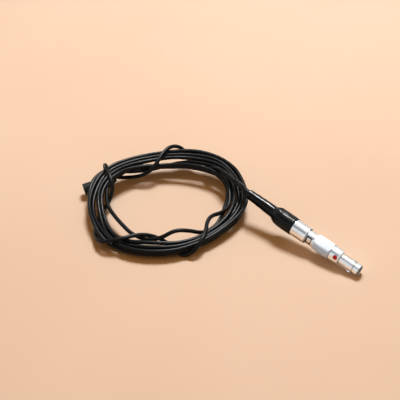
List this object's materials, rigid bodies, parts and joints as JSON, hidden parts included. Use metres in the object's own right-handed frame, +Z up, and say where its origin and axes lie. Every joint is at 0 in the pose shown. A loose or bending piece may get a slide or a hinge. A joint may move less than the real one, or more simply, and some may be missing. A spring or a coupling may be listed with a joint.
{
  "type": "instrument cable",
  "caption": "Thin black instrument microphone lead in a hand-wound coil, with a small silver push-pull plug and a miniature cylindrical microphone head.",
  "frame": {"origin": "on the floor, under the middle of the box round the two rigid ends, the plug and the microphone head", "axes": "+Z up from the floor the cable lies on; +X from the microphone head towards the plug, along the longest side; +Y away from the viewer of the picture"},
  "size_m": [0.1168, 0.0756, 0.0145],
  "materials": {
    "jacket": "satin black jacket",
    "relief_rubber": "matt black",
    "shrink_black": "gloss, slightly wrinkled",
    "nickel_polished": "polished nickel plate",
    "nickel_satin": "satin nickel plate, knurled",
    "bronze_gold": "gold plate",
    "index_red": "enamel",
    "insulator_grey": "moulded",
    "carrier_metal": "turned",
    "wire_cover": "extruded",
    "braid_copper": "tinned copper braid",
    "head_black": "semi-matt black",
    "capsule_metal": "turned",
    "board_green": "laminate",
    "mesh_cloth": "woven"
  },
  "bodies": {
    "cable_body": {"heat_shrink_boot": "shrink_black", "clamp_nut": "nickel_polished", "inner_shell": "nickel_polished", "latch_ring": "bronze_gold", "contact_insulator": "insulator_grey", "contact_pins": "bronze_gold", "insert_carrier_upper": "carrier_metal", "insert_carrier_lower": "carrier_metal", "earthing_cone": "carrier_metal", "shield_braid": "braid_copper", "cable_collet": "carrier_metal", "plug_conductors": "wire_cover", "cable_in_plug": "jacket", "cable_lead": "jacket", "relief_sleeve": "relief_rubber", "cable_coil": "jacket", "cable_tail": "jacket", "head_housing": "head_black", "mic_capsule": "capsule_metal", "capsule_retainer": "capsule_metal", "circuit_disc": "board_green", "head_conductors": "wire_cover", "cable_crimp": "carrier_metal", "head_gland": "relief_rubber"},
    "release_sleeve": {"release_sleeve": "nickel_satin", "index_dot": "index_red"},
    "upper_latch": {"latch_finger_upper": "nickel_polished"},
    "lower_latch": {"latch_finger_lower": "nickel_polished"},
    "grid_cap": {"grid_cap": "head_black", "acoustic_mesh": "mesh_cloth"}
  },
  "joints": [
    {"name": "release_slide", "type": "slide", "parent": "cable_body", "child": "release_sleeve", "axis": [-0.7603, 0.6253, 0.1761], "range_m": [0, 0.0015], "stiffness_N_per_m": 600, "springref_m": -0.0005},
    {"name": "upper_latch_flex", "type": "hinge", "parent": "cable_body", "child": "upper_latch", "pos_m": [0.04625, -0.01743, 0.00704], "axis": [0.4896, 0.7297, -0.4772], "range_deg": [0, 2.4]},
    {"name": "lower_latch_flex", "type": "hinge", "parent": "cable_body", "child": "lower_latch", "pos_m": [0.04433, -0.01867, 0.00316], "axis": [-0.4896, -0.7297, 0.4772], "range_deg": [0, 2.4]},
    {"name": "grid_cap_pull", "type": "slide", "parent": "cable_body", "child": "grid_cap", "axis": [-0.9317, -0.3307, -0.1502], "range_m": [0, 0.0045]}
  ],
  "couplings": [
    {"joint": "upper_latch_flex", "follows": "release_slide", "rad_per_m": 25.598},
    {"joint": "lower_latch_flex", "follows": "release_slide", "rad_per_m": 25.598}
  ]
}
